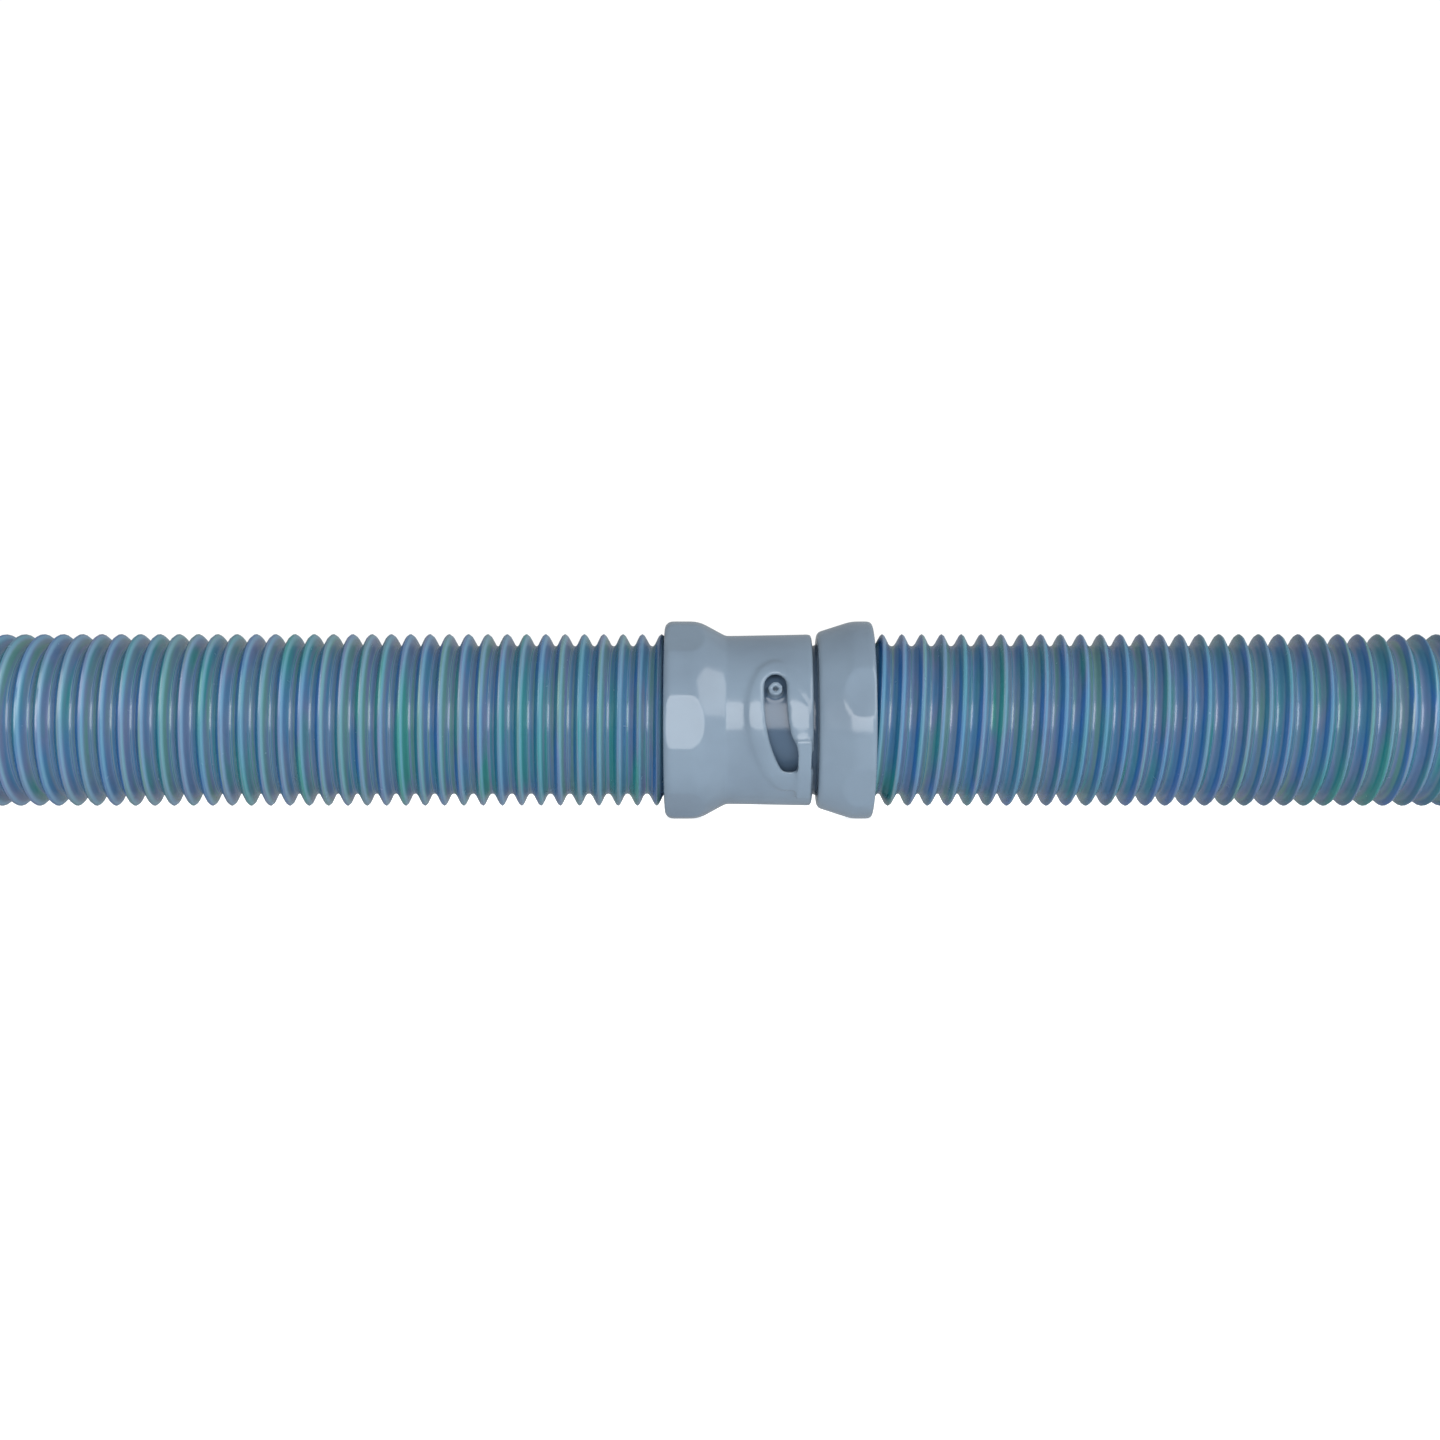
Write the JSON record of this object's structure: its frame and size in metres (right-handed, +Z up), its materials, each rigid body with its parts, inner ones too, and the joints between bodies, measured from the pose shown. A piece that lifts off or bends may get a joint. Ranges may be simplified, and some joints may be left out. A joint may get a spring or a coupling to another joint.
{
  "type": "vacuum hose",
  "caption": "Pool cleaner vacuum hose: corrugated sections joined by a twist-lock coupling, with a socket end and a spigot end free.",
  "frame": {"origin": "on the floor, under the middle of the twist-lock coupling at the front", "axes": "+X along the coupling from the socket side to the spigot side, +Y back towards the hoses' curves, +Z up"},
  "size_m": [0.9085, 0.5591, 0.055],
  "materials": {
    "hose_blue": "semi-gloss corrugated, slightly pearly blue",
    "fitting_grey": "moulded blue-grey, satin gloss",
    "seal_rubber": "matt black rubber",
    "bush_plastic": "moulded grey, matt"
  },
  "bodies": {
    "socket_section": {"left_hose": "hose_blue", "left_hose_bush": "bush_plastic", "female_fitting": "fitting_grey", "far_male_bush": "bush_plastic"},
    "spigot_section": {"right_hose": "hose_blue", "right_hose_bush": "bush_plastic", "far_female_fitting": "fitting_grey", "far_female_bush": "bush_plastic"},
    "lock_collar": {"male_fitting": "fitting_grey", "seal_ring": "seal_rubber"},
    "far_lock_collar": {"far_male_fitting": "fitting_grey", "far_seal_ring": "seal_rubber"}
  },
  "joints": [
    {"name": "cam_slide", "type": "slide", "parent": "socket_section", "child": "spigot_section", "axis": [1, 0, 0], "range_m": [0, 0.00284]},
    {"name": "twist_lock", "type": "hinge", "parent": "spigot_section", "child": "lock_collar", "pos_m": [0, 0, 0.0275], "axis": [1, 0, 0], "range_deg": [0, 50]},
    {"name": "far_collar_swivel", "type": "hinge", "parent": "socket_section", "child": "far_lock_collar", "pos_m": [-0.115, 0.4958, 0.0275], "axis": [1, 0, 0], "continuous": true}
  ],
  "couplings": [
    {"joint": "twist_lock", "follows": "cam_slide", "rad_per_m": 306.84}
  ]
}
